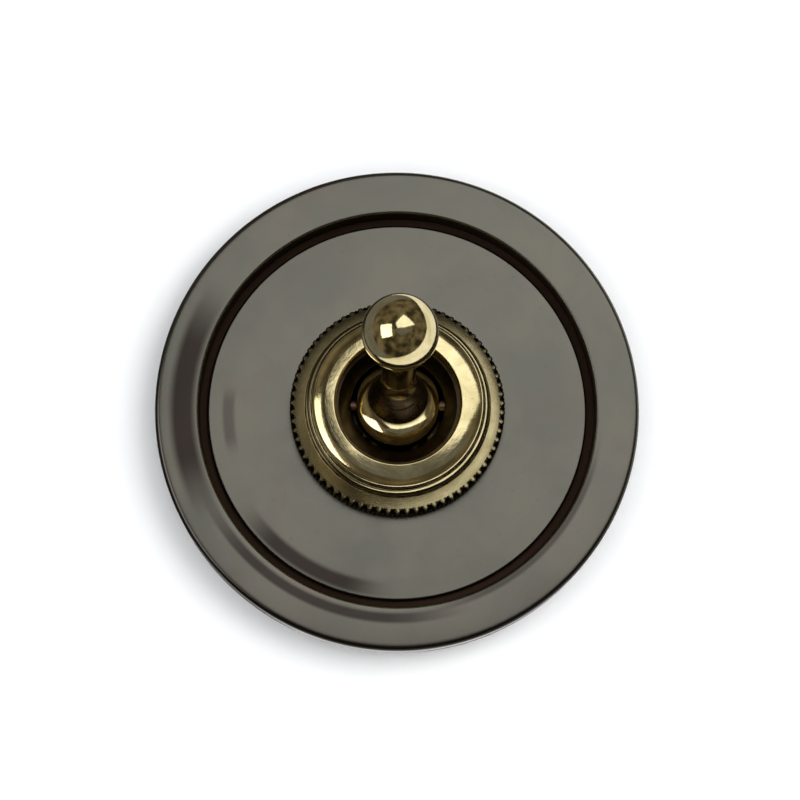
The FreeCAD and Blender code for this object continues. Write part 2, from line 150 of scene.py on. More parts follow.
def arc(start, middle, end, steps):
    """Points of the circular arc through three (radius, depth) points, without its last point."""
    ax, ay = start
    bx, by = middle
    cx, cy = end
    d = 2 * (ax * (by - cy) + bx * (cy - ay) + cx * (ay - by))
    sa, sb, sc = ax * ax + ay * ay, bx * bx + by * by, cx * cx + cy * cy
    centre = Vector(((sa * (by - cy) + sb * (cy - ay) + sc * (ay - by)) / d,
                     (sa * (cx - bx) + sb * (ax - cx) + sc * (bx - ax)) / d))
    first, last = Vector(start) - centre, Vector(end) - centre
    turn = first.angle_signed(last)
    if first.angle_signed(Vector(middle) - centre) * turn < 0:
        turn -= math.copysign(TURN, turn)
    return [(*(centre + Matrix.Rotation(-turn * k / steps, 2) @ first), 0) for k in range(steps)]


# ---------------------------------------------------------------- meshes

def lathe(outline, segments, shape=None):
    """Closed bmesh turned about the Y axis from (radius, depth) points.

    shape(r, depth, angle) may give a point another radius.
    """
    bm = bmesh.new()
    rings = []
    for r, depth in outline:
        if r < 1e-6:
            rings.append([bm.verts.new((0, -depth * MM, 0))])
            continue
        ring = []
        for k in range(segments):
            angle = TURN * k / segments
            rr = shape(r, depth, angle) if shape else r
            ring.append(bm.verts.new((rr * MM * math.cos(angle), -depth * MM, rr * MM * math.sin(angle))))
        rings.append(ring)
    for a, b in zip(rings, rings[1:] + rings[:1]):
        for k in range(segments):
            n = (k + 1) % segments
            corners = [a[k % len(a)], a[n % len(a)], b[n % len(b)], b[k % len(b)]]
            corners = list(dict.fromkeys(corners))
            if len(corners) > 2:
                bm.faces.new(corners)
    bmesh.ops.recalc_face_normals(bm, faces=bm.faces)
    return bm


def cylinder(r, start, end):
    """Bmesh cylinder between two points in millimetres, for use as a cutter."""
    start, end = Vector(start) * MM, Vector(end) * MM
    bm = bmesh.new()
    way = end - start
    place = Matrix.Translation((start + end) / 2) @ way.to_track_quat("Z", "Y").to_matrix().to_4x4()
    bmesh.ops.create_cone(bm, cap_ends=True, segments=COARSE, radius1=r * MM, radius2=r * MM,
                          depth=way.length, matrix=place)
    return bm


def block(lo, hi):
    """Bmesh box between two (x, y, z) corners in millimetres."""
    bm = bmesh.new()
    lo, hi = Vector(lo) * MM, Vector(hi) * MM
    bmesh.ops.create_cube(bm, size=1, matrix=Matrix.Translation((lo + hi) / 2)
                          @ Matrix.Diagonal((*(hi - lo), 1)))
    return bm


def as_object(bm, name):
    mesh = bpy.data.meshes.new(name)
    bm.to_mesh(mesh)
    bm.free()
    obj = bpy.data.objects.new(name, mesh)
    bpy.context.scene.collection.objects.link(obj)
    return obj


def apply_modifiers(obj):
    graph = bpy.context.evaluated_depsgraph_get()
    mesh = bpy.data.meshes.new_from_object(obj.evaluated_get(graph))
    obj.modifiers.clear()
    old, obj.data = obj.data, mesh
    bpy.data.meshes.remove(old)


def cut(obj, cutters):
    """Cut every cutter bmesh out of the object."""
    for bm in cutters:
        tool = as_object(bm, "cutter")
        modifier = obj.modifiers.new("cut", "BOOLEAN")
        modifier.operation, modifier.solver, modifier.object = "DIFFERENCE", "EXACT", tool
        apply_modifiers(obj)
        bpy.data.objects.remove(tool)


def soften_edges(obj, width):
    """Small round on every sharp edge."""
    bevel = obj.modifiers.new("edge", "BEVEL")
    bevel.width, bevel.segments = width * MM, 2
    bevel.limit_method, bevel.angle_limit = "ANGLE", math.radians(40)
    apply_modifiers(obj)


def finish_piece(obj, material, body, node, sharp=math.radians(32)):
    """Smooth shading with sharp edges kept, a material, and the piece's place in the frame."""
    bm = bmesh.new()
    bm.from_mesh(obj.data)
    bmesh.ops.remove_doubles(bm, verts=bm.verts, dist=1e-7)
    for face in bm.faces:
        face.smooth = True
    for edge in bm.edges:
        edge.smooth = len(edge.link_faces) == 2 and edge.calc_face_angle() < sharp
    bm.to_mesh(obj.data)
    bm.free()
    obj.data.materials.clear()
    obj.data.materials.append(material)
    weighted = obj.modifiers.new("normals", "WEIGHTED_NORMAL")
    weighted.keep_sharp = True
    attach(obj, body)
    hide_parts(node)
    return obj


# ---------------------------------------------------------------- materials

class Surface:
    """A node material with short calls for the nodes that the finishes share."""

    def __init__(self, name, **settings):
        self.material = bpy.data.materials.new(name)
        self.material.use_nodes = True
        self.nodes, self.links = self.material.node_tree.nodes, self.material.node_tree.links
        self.nodes.clear()
        self.shader = self.nodes.new("ShaderNodeBsdfPrincipled")
        out = self.nodes.new("ShaderNodeOutputMaterial")
        self.links.new(self.shader.outputs[0], out.inputs["Surface"])
        for key, value in settings.items():
            self.shader.inputs[key.replace("_", " ")].default_value = value
        self.place = self.nodes.new("ShaderNodeTexCoord").outputs["Object"]

    def about_lever(self):
        """Measure places from the lever's pivot, with Y along the lever, so that turned lines follow it."""
        node = self.nodes.new("ShaderNodeMapping")
        node.vector_type = "TEXTURE"
        self.put(node.inputs["Vector"], self.place)
        node.inputs["Location"].default_value = PIVOT
        node.inputs["Rotation"].default_value = (-LEVER_TILT, 0, 0)
        self.place = node.outputs[0]

    def put(self, socket, value):
        """Link a node's output to the socket, or give the socket a plain value."""
        if isinstance(value, bpy.types.NodeSocket):
            self.links.new(value, socket)
        else:
            socket.default_value = value

    def set(self, **values):
        for key, value in values.items():
            self.put(self.shader.inputs[key.replace("_", " ")], value)

    def calc(self, operation, a, b=0.0):
        node = self.nodes.new("ShaderNodeMath")
        node.operation = operation
        for socket, value in zip(node.inputs, (a, b)):
            self.put(socket, value)
        return node.outputs[0]

    def product(self, a, b):
        return self.calc("MULTIPLY", a, b)

    def distance(self, a, b):
        return self.calc("ABSOLUTE", self.calc("SUBTRACT", a, b))

    def noise(self, scale, detail, roughness, distortion=0.0, at=None):
        node = self.nodes.new("ShaderNodeTexNoise")
        self.put(node.inputs["Vector"], at or self.place)
        for key, value in (("Scale", scale), ("Detail", detail), ("Roughness", roughness),
                           ("Distortion", distortion)):
            node.inputs[key].default_value = value
        return node.outputs["Fac"]

    def cells(self, scale):
        node = self.nodes.new("ShaderNodeTexVoronoi")
        self.put(node.inputs["Vector"], self.place)
        node.inputs["Scale"].default_value = scale
        return node.outputs["Distance"]

    def remap(self, value, low_in, high_in, low_out=0.0, high_out=1.0):
        """Smooth step from low_out to high_out as the value goes from low_in to high_in."""
        node = self.nodes.new("ShaderNodeMapRange")
        node.interpolation_type = "SMOOTHSTEP"
        for socket, v in zip(node.inputs, (value, low_in, high_in, low_out, high_out)):
            self.put(socket, v)
        return node.outputs[0]

    def mix(self, factor, a, b):
        node = self.nodes.new("ShaderNodeMix")
        node.data_type = "RGBA"
        self.put(node.inputs["Factor"], factor)
        a_in = next(s for s in node.inputs if s.name == "A" and s.type == "RGBA")
        b_in = next(s for s in node.inputs if s.name == "B" and s.type == "RGBA")
        self.put(a_in, a)
        self.put(b_in, b)
        return next(s for s in node.outputs if s.type == "RGBA")

    def split(self):
        node = self.nodes.new("ShaderNodeSeparateXYZ")
        self.put(node.inputs[0], self.place)
        return node.outputs

    def join(self, x, y, z):
        node = self.nodes.new("ShaderNodeCombineXYZ")
        for socket, value in zip(node.inputs, (x, y, z)):
            self.put(socket, value)
        return node.outputs[0]

    def radius(self):
        """Distance from the piece's Y axis, in metres."""
        x, _, z = self.split()
        return self.calc("SQRT", self.calc("ADD", self.product(x, x), self.product(z, z)))

    def arc_patch(self, middle, half_turn, r, half_width, strength):
        """Soft patch along an arc, full over the inner part of its width and length.

        middle and half_turn are in degrees clockwise from the bottom, r and half_width in millimetres.
        """
        full = 0.4
        x, _, z = self.split()
        turn = self.calc("ARCTAN2", self.product(x, -1), self.product(z, -1))
        aside = self.distance(turn, math.radians(middle))
        away = self.distance(self.radius(), r * MM)
        wide = self.remap(away, half_width * MM, full * half_width * MM)
        long = self.remap(aside, math.radians(half_turn), math.radians(full * half_turn))
        return self.product(self.product(wide, long), strength)

    def turned_lines(self, across, along, detail):
        """Noise drawn out round the Y axis: across lines per metre of radius and depth, along per turn."""
        depth_share, least_r = 0.73, 1e-5
        x, y, z = self.split()
        r = self.radius()
        unit = self.calc("MAXIMUM", r, least_r)
        turn_x = self.product(self.calc("DIVIDE", x, unit), along)
        turn_z = self.product(self.calc("DIVIDE", z, unit), along)
        spread = self.product(self.calc("ADD", r, self.product(y, depth_share)), across)
        return self.noise(1.0, detail, 0.55, at=self.join(turn_x, spread, turn_z))

    def drawn_lines(self, per_x, per_y, per_z, detail):
        """Noise drawn out along the axes that have few lines per metre."""
        x, y, z = self.split()
        at = self.join(self.product(x, per_x), self.product(y, per_y), self.product(z, per_z))
        return self.noise(1.0, detail, 0.6, at=at)

    def bump(self, height, distance, strength, normal=None):
        node = self.nodes.new("ShaderNodeBump")
        node.inputs["Strength"].default_value = strength
        node.inputs["Distance"].default_value = distance
        self.put(node.inputs["Height"], height)
        if normal:
            self.put(node.inputs["Normal"], normal)
        return node.outputs[0]


def rgb(r, g, b):
    return (r, g, b, 1.0)


POLISHED_BRASS, OLIVE_BRASS = rgb(0.86, 0.74, 0.42), rgb(0.62, 0.53, 0.27)
BRASS_DIRT = rgb(0.085, 0.045, 0.02)
PLATE_ROUGH = 0.24
# Painted dark reflections and shade on the plate, each (middle, half turn, radius, half width, strength) of
# an arc_patch.
PLATE_PAINTED_SHADE_AND_REFLECTIONS = [(92, 36, 39.9, 3.1, 0.9), (-45, 42, 37.5, 1.2, 0.6), (24, 48, 39.0, 1.3, 0.8),
                 (30, 30, 33.5, 1.9, 0.85), (87, 13, 31.5, 1.5, 0.45), (15, 130, 45.3, 1.5, 0.9)]


def dark_plate_metal(name):
    """Black nickel: warm grey, faint pink and green clouds, turned lines, painted dark reflections and shade
    on the ring, disc and rim, and painted brown-black shade in the groove round the disc.
    """
    s = Surface(name, Metallic=1.0)
    clouds = s.noise(55, 4, 0.6, 0.4)
    tint = s.mix(s.remap(clouds, 0.35, 0.65), rgb(0.158, 0.148, 0.123), rgb(0.145, 0.143, 0.121))
    blush = s.remap(s.noise(95, 3, 0.5, 0.8), 0.52, 0.72, 0.0, 0.45)
    tint = s.mix(blush, tint, rgb(0.158, 0.134, 0.114))
    lines = s.turned_lines(3200, 2.5, 4)
    tint = s.mix(s.remap(lines, 0.3, 0.75, 0.0, 0.06), tint, rgb(0.115, 0.108, 0.09))
    speck = s.remap(s.noise(1700, 2, 0.6), 0.66, 0.74, 0.0, 0.4)
    tint = s.mix(speck, tint, rgb(0.07, 0.062, 0.05))
    # Painted shade: brown-black in the groove between the disc and the ring, which is also made rougher.
    seam_painted_shade = s.product(s.remap(s.radius(), (DISC_R - 0.12) * MM, (DISC_R + 0.02) * MM),
                     s.remap(s.radius(), (FRAME_INNER_R + 0.1) * MM, (FRAME_INNER_R - 0.02) * MM))
    tint = s.mix(seam_painted_shade, tint, rgb(0.07, 0.042, 0.028))
    # Painted dark reflections and shade: near-black patches on the ring, the disc's edge and the plate's
    # outer rim.
    for painted_patch in PLATE_PAINTED_SHADE_AND_REFLECTIONS:
        tint = s.mix(s.arc_patch(*painted_patch), tint, rgb(0.026, 0.018, 0.017))
    s.set(Base_Color=tint)
    rough = s.remap(clouds, 0.3, 0.7, PLATE_ROUGH - 0.01, PLATE_ROUGH + 0.03)
    s.set(Roughness=s.calc("ADD", rough, s.product(seam_painted_shade, 0.4)), Normal=s.bump(clouds, 0.00008, 0.1))
    return s.material


def aged_brass(name, bright, dull, rough, on_lever=False):
    """Surface, tint and roughness of polished brass gone olive, with turned lines and fine pits."""
    s = Surface(name, Metallic=1.0)
    if on_lever:
        s.about_lever()
    clouds = s.noise(170, 5, 0.62, 0.6)
    tint = s.mix(s.remap(clouds, 0.36, 0.68), bright, dull)
    lines = s.turned_lines(6000, 5, 3)
    tint = s.mix(s.remap(lines, 0.45, 0.8, 0.0, 0.3), tint, dull)
    pits = s.remap(s.noise(2600, 2, 0.5), 0.68, 0.76)
    tint = s.mix(s.product(pits, 0.5), tint, BRASS_DIRT)
    roughness = s.remap(lines, 0.3, 0.8, rough, rough + 0.06)
    s.set(Normal=s.bump(pits, 0.00002, -0.5, s.bump(lines, 0.00001, 0.25, s.bump(clouds, 0.00016, 0.2))))
    return s, tint, roughness


def stain_and_shade(s, tint, roughness, amount, colour, added_roughness):
    """Colour and dull a surface where the amount is high; used for real dirt and for painted shade."""
    return s.mix(amount, tint, colour), s.calc("ADD", roughness, s.product(amount, added_roughness))


def bush_brass():
    """Brass darkened almost to black: a patina, with painted shade for the dark inside of the lever's hole.
    """
    s, tint, roughness = aged_brass("bush_brass_patina_and_painted_shade", rgb(0.06, 0.045, 0.024),
                                    rgb(0.03, 0.021, 0.012), 0.3)
    s.set(Base_Color=tint, Roughness=roughness)
    return s.material


def lever_brass():
    """Bright brass with painted brown shade and dark reflection in the hollow where the neck meets the ball.
    """
    s, tint, roughness = aged_brass("aged_brass_lever", POLISHED_BRASS, OLIVE_BRASS, 0.07, on_lever=True)
    # Painted shade and dark reflection: brown-black in the hollow round the foot of the neck.
    middle, half_length, half_full = 6.4, 3.5, 2.5
    outer_r, full_r = 6.1, 5.4
    along = s.calc("ABSOLUTE", s.calc("ADD", s.split()[1], middle * MM))
    root_painted_shade = s.product(s.remap(along, half_length * MM, half_full * MM),
                     s.remap(s.radius(), outer_r * MM, full_r * MM))
    root_painted_shade = s.product(root_painted_shade, s.remap(s.noise(300, 3, 0.6), 0.2, 0.55, 0.75, 0.97))
    tint, roughness = stain_and_shade(s, tint, roughness, root_painted_shade, rgb(0.045, 0.024, 0.012), 0.2)
    s.set(Base_Color=tint, Roughness=roughness)
    return s.material


def nut_brass():
    """Brass made dull by handling outside its groove, with dirt in the grooves, and dirt with painted shade
    between the teeth.
    """
    s, tint, roughness = aged_brass("aged_brass_nut", POLISHED_BRASS, OLIVE_BRASS, 0.09)
    satin_from, satin_edge = 17.2, 0.3
    grooves = [(16.0, 0.2), (17.05, 0.25)]      # (radius, half width)
    dirt_and_shade_front, dirt_and_shade_full = 7.9, 7.4          # depths
    satin = s.remap(s.radius(), (satin_from - satin_edge) * MM, satin_from * MM, 0.0, 0.16)
    roughness = s.calc("ADD", roughness, satin)
    bands = [s.remap(s.distance(s.radius(), r * MM), half_width * MM, 0.3 * half_width * MM)
             for r, half_width in grooves]
    dirt = s.product(s.calc("MAXIMUM", *bands), s.remap(s.noise(420, 3, 0.6), 0.25, 0.6, 0.5, 1.0))
    tint, roughness = stain_and_shade(s, tint, roughness, dirt, BRASS_DIRT, 0.3)
    # Dirt and painted shade: near black between the teeth on the skirt behind the land.
    behind_land = s.remap(s.split()[1], -dirt_and_shade_front * MM, -dirt_and_shade_full * MM)
    notch = s.remap(s.radius(), (NUT_R + 0.8 * TOOTH_DEPTH) * MM, (NUT_R - 0.3 * TOOTH_DEPTH) * MM)
    teeth_dirt_and_painted_shade = s.product(behind_land, notch)
    tint, roughness = stain_and_shade(s, tint, roughness, teeth_dirt_and_painted_shade, rgb(0.012, 0.008, 0.005), 0.4)
    s.set(Base_Color=tint, Roughness=roughness)
    return s.material


def plain_steel(name, tint, rough, spangle=0.0):
    """Steel or plated steel: turned lines, cloudy plating and a little rust brown."""
    s = Surface(name, Metallic=1.0)
    clouds = s.noise(240, 4, 0.6)
    dark = rgb(*(0.62 * v for v in tint[:3]))
    colour = s.mix(s.remap(clouds, 0.35, 0.7, 0.0, 0.6), tint, dark)
    crystals = s.cells(520)
    colour = s.mix(s.product(s.remap(crystals, 0.1, 0.9), spangle), colour, dark)
    rust = s.remap(s.noise(130, 5, 0.7, 0.5), 0.66, 0.78, 0.0, 0.35)
    colour = s.mix(rust, colour, rgb(0.24, 0.15, 0.08))
    lines = s.turned_lines(7000, 5, 3)
    s.set(Base_Color=colour)
    s.set(Roughness=s.calc("ADD", s.remap(lines, 0.3, 0.7, rough, rough + 0.12), s.product(rust, 0.4)))
    s.set(Normal=s.bump(lines, 0.00001, 0.3, s.bump(crystals, 0.00001, 0.4 * spangle)))
    return s.material


def rolled_strip(name, tint, dull):
    """Sheet brass or silver with rolling lines along Z and fingerprints of tarnish."""
    s = Surface(name, Metallic=1.0)
    grain = s.drawn_lines(5200, 5200, 260, 3)
    tarnish = s.remap(s.noise(210, 5, 0.65, 0.7), 0.4, 0.7)
    colour = s.mix(tarnish, tint, dull)
    s.set(Base_Color=s.mix(s.remap(grain, 0.35, 0.75, 0.0, 0.3), colour, dull))
    s.set(Roughness=s.calc("ADD", s.remap(grain, 0.3, 0.7, 0.22, 0.36), s.product(tarnish, 0.12)))
    s.set(Normal=s.bump(grain, 0.00001, 0.35))
    return s.material


def bakelite(name):
    """Dark brown moulded resin with flow marks, a worn gloss and fine dust."""
    s = Surface(name, Specular_IOR_Level=0.55, Coat_Weight=0.25, Coat_Roughness=0.12)
    flow = s.noise(70, 5, 0.6, 2.6)
    colour = s.mix(s.remap(flow, 0.38, 0.66), rgb(0.030, 0.015, 0.010), rgb(0.046, 0.022, 0.013))
    flour = s.remap(s.noise(2100, 2, 0.6), 0.6, 0.72, 0.0, 0.4)
    colour = s.mix(flour, colour, rgb(0.12, 0.07, 0.04))
    wear = s.noise(340, 5, 0.65)
    s.set(Base_Color=colour, Roughness=s.remap(wear, 0.3, 0.75, 0.22, 0.5))
    peel = s.noise(620, 2, 0.5)
    s.set(Normal=s.bump(peel, 0.00003, 0.25, s.bump(flour, 0.00001, 0.3)))
    return s.material


def laminate(name):
    """Cloth and resin laminate: warm brown layers with a woven speckle."""
    s = Surface(name)
    threads = 9000
    _, y, z = s.split()
    layers = s.drawn_lines(2600, 160, 160, 3)
    weave = s.product(s.calc("SINE", s.product(y, threads)), s.calc("SINE", s.product(z, threads)))
    colour = s.mix(s.remap(layers, 0.35, 0.65), rgb(0.34, 0.17, 0.06), rgb(0.19, 0.085, 0.03))
    s.set(Base_Color=s.mix(s.remap(weave, 0.2, 0.9, 0.0, 0.35), colour, rgb(0.12, 0.05, 0.02)))
    s.set(Roughness=s.remap(layers, 0.3, 0.7, 0.38, 0.55), Normal=s.bump(weave, 0.00002, 0.3))
    return s.material


def fibre(name):
    """Red vulcanised fibre with a paper-like surface."""
    s = Surface(name)
    pulp = s.noise(900, 5, 0.7, 0.6)
    s.set(Base_Color=s.mix(s.remap(pulp, 0.35, 0.65), rgb(0.26, 0.035, 0.02), rgb(0.13, 0.018, 0.012)))
    s.set(Roughness=s.remap(pulp, 0.3, 0.7, 0.6, 0.8), Normal=s.bump(pulp, 0.00003, 0.4))
    return s.material


FINISHES = {
    "plate": dark_plate_metal("satin_black_nickel"),
    "nut": nut_brass(),
    "lever": lever_brass(),
    "bush": bush_brass(),
    "pin": plain_steel("browned_steel", rgb(0.20, 0.13, 0.10), 0.3),
    "zinc": plain_steel("zinc_plated_steel", rgb(0.58, 0.58, 0.55), 0.3, 0.6),
    "steel": plain_steel("ground_steel", rgb(0.62, 0.62, 0.60), 0.2),
    "strip": rolled_strip("rolled_brass_strip", rgb(0.78, 0.60, 0.29), rgb(0.45, 0.31, 0.13)),
    "silver": rolled_strip("silver_contact", rgb(0.83, 0.81, 0.77), rgb(0.42, 0.37, 0.30)),
    "bakelite": bakelite("brown_bakelite"),
    "laminate": laminate("cloth_laminate"),
    "fibre": fibre("red_fibre"),
}


# ---------------------------------------------------------------- plate

def frame_ring():
    """Convex ring with its wall-side rim, its inner wall and the seat that the disc lies on."""
    inner_r = FRAME_INNER_R
    rim_r, seat_r, seat_back, behind_r = PLATE_R - 1.6, inner_r - 3.8, DISC_BACK - 0.7, inner_r + 1.2
    face_outer, face_inner = (PLATE_R - 0.9, CREST - 0.03), (inner_r + 0.5, CREST - 0.03)
    lip_end = (inner_r, CREST - 0.65)
    shoulder = arc((PLATE_R, CREST - 1.0), (PLATE_R - 0.26, CREST - 0.33), face_outer, 7)
    face = arc(face_outer, (PLATE_R - 4.0, CREST), face_inner, 14)
    lip = arc(face_inner, (inner_r + 0.12, CREST - 0.25), lip_end, 6)
    outline = [(rim_r, 0, 0.1), (PLATE_R, 0, 0.12), *shoulder, *face, *lip, (*lip_end, 0),
               (inner_r, DISC_BACK, 0.1), (seat_r, DISC_BACK, 0.1), (seat_r, seat_back, 0.1),
               (behind_r, seat_back, 0.2), (behind_r, 5.1, 0.6), (rim_r, 4.9, 0.6)]
    obj = as_object(lathe(rounded(outline), FINE), "frame_ring")
    return finish_piece(obj, FINISHES["plate"], "mechanism", "outer_frame")


def inner_disc():
    """Flat disc whose face falls away very slightly towards its edge."""
    hole_r = BUSH_R + 0.3
    fall_start, fall, fall_round = DISC_R - 4.2, 0.04, 60
    outline = [(hole_r, DISC_BACK, 0.1), (DISC_R, DISC_BACK, 0.1), (DISC_R, DISC_FRONT - fall, 0.45),
               (fall_start, DISC_FRONT, fall_round), (hole_r, DISC_FRONT, 0.15)]
    obj = as_object(lathe(rounded(outline), FINE), "inner_disc")
    return finish_piece(obj, FINISHES["plate"], "mechanism", "cover_disc")


# ---------------------------------------------------------------- ring nut, bush and washers

def knurl(r, depth, angle):
    """Radius after two crossed helical cuts, which leave rows of small diamonds on the nut's skirt."""
    crest_half, flank, slack = 0.2, 0.28, 0.02
    on_skirt = min(1.0, max(0.0, (r - LAND_R) / (TOOTH_DEPTH - slack)))
    lead = depth / TOOTH_PITCH
    cuts = [abs((angle * NUT_TEETH / TURN + way * lead) % 1.0 - 0.5) for way in (-1, 1)]
    notch = min(1.0, max(0.0, (max(cuts) - crest_half) / flank))
    return r - on_skirt * notch * TOOTH_DEPTH


def ring_nut():
    """Knurled skirt, sloping land, groove, bead and domed collar round the lever's hole."""
    bore_r, washer_r, washer_floor = BUSH_R + 0.08, 17.8, 3.5
    underside, bore_end = DISC_FRONT + 0.05, BUSH_FRONT + 0.15
    hole_r, dome_r = 11.4, 15.86
    skirt_back, skirt_front, skirt_rows, points_per_tooth = 3.55, 7.3, 26, 12
    land_end, bead_end = (17.2, 10.1), (16.15, 12.9)
    dome_start, dome_end = (15.29, NUT_CREST - 0.67), (13.3, NUT_CREST - 0.16)
    land = arc((LAND_R, 8.2), (18.17, 9.17), land_end, 10)
    bead = arc((16.85, 10.4), (16.75, 12.1), bead_end, 10)
    shoulder = arc((dome_r, NUT_CREST - 1.72), (15.71, NUT_CREST - 1.12), dome_start, 8)
    dome = arc(dome_start, (14.34, NUT_CREST - 0.36), dome_end, 10)
    skirt = [(NUT_R, skirt_back + (skirt_front - skirt_back) * k / skirt_rows, 0)
             for k in range(1, skirt_rows)]
    outline = [(bore_r, washer_floor, 0.1), (washer_r, washer_floor, 0), (washer_r, underside, 0.1),
               (NUT_R - 0.35, underside, 0.1), (NUT_R, skirt_back, 0.15), *skirt, (NUT_R, skirt_front, 0.1),
               *land, (*land_end, 0.08), (17.0, 9.95, 0.05), *bead, (*bead_end, 0.08),
               (dome_r + 0.04, 12.7, 0.05), *shoulder, *dome, (*dome_end, 0),
               (hole_r + 0.35, NUT_CREST, 0.2), (hole_r, NUT_CREST - 0.3, 0.2),
               (hole_r, bore_end, 0.1), (bore_r, bore_end, 0)]
    obj = as_object(lathe(rounded(outline), NUT_TEETH * points_per_tooth, knurl), "ring_nut_body")
    return finish_piece(obj, FINISHES["nut"], "ring_nut", "knurled_ring_nut",
                        sharp=math.radians(50))


def bush():
    """Flanged bush with ring-like threads and a flared mouth, crossed by the pivot pin's hole."""
    pitch, root_r, turns, start, flat = 1.5, BUSH_R - 0.65, 5, 3.9, 0.12
    outline = [(BUSH_BORE_R, BUSH_BACK, 0.2), (BUSH_FLANGE_R, BUSH_BACK, 0.2),
               (BUSH_FLANGE_R, BRIDGE_BACK, 0.2), (BUSH_R, BRIDGE_BACK, 0)]
    for turn in range(turns):
        at = start + turn * pitch
        outline += [(BUSH_R, at, 0.08), (root_r, at + 0.5 * pitch - flat, 0.08),
                    (root_r, at + 0.5 * pitch + flat, 0.08), (BUSH_R, at + pitch - flat, 0.08)]
    outline += [(BUSH_R, BUSH_FRONT, 0.25), (10.9, BUSH_FRONT, 0.15), (BUSH_BORE_R, 10.2, 0.3)]
    obj = as_object(lathe(rounded(outline), MEDIUM), "bush_body")
    reach = BUSH_R + OVERRUN
    cut(obj, [cylinder(PIN_R + 0.02, (-reach, -PIVOT_DEPTH, 0), (reach, -PIVOT_DEPTH, 0))])
    return finish_piece(obj, FINISHES["bush"], "mechanism", "threaded_bush")


# ---------------------------------------------------------------- lever

def in_lever_frame(obj):
    """Place a piece drawn along -Y from the pivot on the lever's own tilted axis."""
    obj.data.transform(Matrix.Translation(PIVOT) @ Matrix.Rotation(-LEVER_TILT, 4, "X"))
    return obj


def hub():
    """Ball whose front is turned down to a shallow cap round the neck, with the hollow sleeve behind."""
    stud_r, stud_floor = 1.6, 3.2
    sleeve_r, sleeve_end, bore_r, bore_start = 3.0, 15.0, 2.06, 3.2
    first, last, steps = math.radians(74), math.pi - math.asin((sleeve_r + 0.25) / HUB_R), 60
    ball = [(HUB_R * math.sin(a), HUB_R * math.cos(a), 0)
            for a in (first + (last - first) * k / steps for k in range(steps + 1))]
    cap_start, cap_end = (5.5, 3.72), (7.45, 2.8)
    cap = arc(cap_start, (6.55, 3.35), cap_end, 16)
    outline = [(0, stud_floor, 0), (stud_r, stud_floor, 0), (stud_r, NECK_SEAT, 0.1),
               (NECK_BASE_R, NECK_SEAT, 0.1), (*cap_start, 0.08), *cap[1:], (*cap_end, 0.2), *ball,
               (sleeve_r, ball[-1][1] - 0.3, 0.2), (sleeve_r, -sleeve_end, 0.25),
               (bore_r, -sleeve_end, 0.15), (bore_r, -bore_start, 0), (0, -bore_start, 0)]
    obj = as_object(lathe(rounded(outline), FINE), "lever_ball")
    cut(obj, [cylinder(PIN_R + 0.05, (-HUB_R - OVERRUN, 0, 0), (HUB_R + OVERRUN, 0, 0))])
    in_lever_frame(obj)
    return finish_piece(obj, FINISHES["lever"], "lever", "toggle_hub")


def knob():
    """Threaded stud, waisted neck and egg-shaped knob."""
    seat, stud_end, stud_r, neck_r = NECK_SEAT, 3.6, 1.56, 3.05
    egg_r, egg_half, steps = 6.85, 7.2, 64
    front = math.hypot(egg_half * math.cos(LEVER_TILT), egg_r * math.sin(LEVER_TILT))
    centre = (-low("toggle_knob").y - PIVOT_DEPTH - front) / math.cos(LEVER_TILT)
    waist_end = seat + 6.0
    join = math.pi - math.asin((neck_r + 0.1) / egg_r)
    egg = [(egg_r * math.sin(a), centre + egg_half * math.cos(a), 0)
           for a in (join * (1 - k / steps) for k in range(steps))]
    waist = arc((NECK_BASE_R, seat + 0.12), (neck_r + 0.32, seat + 2.4), (neck_r, waist_end), 14)
    outline = [(0, stud_end, 0), (stud_r - 0.2, stud_end, 0.1), (stud_r, stud_end + 0.3, 0.1),
               (stud_r, seat, 0), (NECK_BASE_R, seat, 0), *waist, (neck_r, waist_end, 0),
               (neck_r, egg[0][1] - 0.45, 0.3), *egg[1:], (0, centre + egg_half, 0)]
    obj = in_lever_frame(as_object(lathe(rounded(outline), FINE), "lever_knob"))
    return finish_piece(obj, FINISHES["lever"], "lever", "toggle_knob")


def plunger_rod():
    """Round-ended rod that slides in the lever's sleeve."""
    head, tip_centre, r, steps = -11.0, -18.0, 2.0, 12
    ball = [(r * math.sin(a), tip_centre - r * math.cos(a), 0)
            for a in (math.pi / 2 * (1 - k / steps) for k in range(steps))]
    outline = [(0, head, 0), (r, head, 0.2), *ball, (0, tip_centre - r, 0)]
    obj = in_lever_frame(as_object(lathe(rounded(outline), COARSE), "plunger_rod_body"))
    return finish_piece(obj, FINISHES["steel"], "plunger_rod", "plunger")


def coil_spring():
    """Helix of round wire with closed, flattened end coils."""
    start, end, mean_r, wire_r, turns, per_turn, sides = 3.47, 10.73, 1.6, 0.24, 8, 36, 10
    end_rise = 0.5                              # of each closed end coil
    bm = bmesh.new()
    rings = []
    for i in range(turns * per_turn + 1):
        turned = i / per_turn
        opened = min(max((turned - 1) / (turns - 2), 0), 1)
        closed = min(turned, 1) + max(turned - turns + 1, 0)
        along = start + end_rise * closed + (end - start - 2 * end_rise) * opened
        out = Vector((math.cos(TURN * turned), 0, math.sin(TURN * turned)))
        ring = []
        for k in range(sides):
            round_wire = TURN * k / sides
            point = (out * (mean_r + wire_r * math.cos(round_wire))
                     + AXIS_Y * (along + wire_r * math.sin(round_wire)))
            ring.append(bm.verts.new(point * MM))
        rings.append(ring)
    for a, b in zip(rings, rings[1:]):
        for k in range(sides):
            bm.faces.new((a[k], a[(k + 1) % sides], b[(k + 1) % sides], b[k]))
    bm.faces.new(rings[0])
    bm.faces.new(rings[-1])
    bmesh.ops.recalc_face_normals(bm, faces=bm.faces)
    obj = in_lever_frame(as_object(bm, "spring_coil"))
    finish_piece(obj, FINISHES["steel"], "lever", "plunger_spring")
    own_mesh(obj)
    return obj


# ---------------------------------------------------------------- housing and fixings

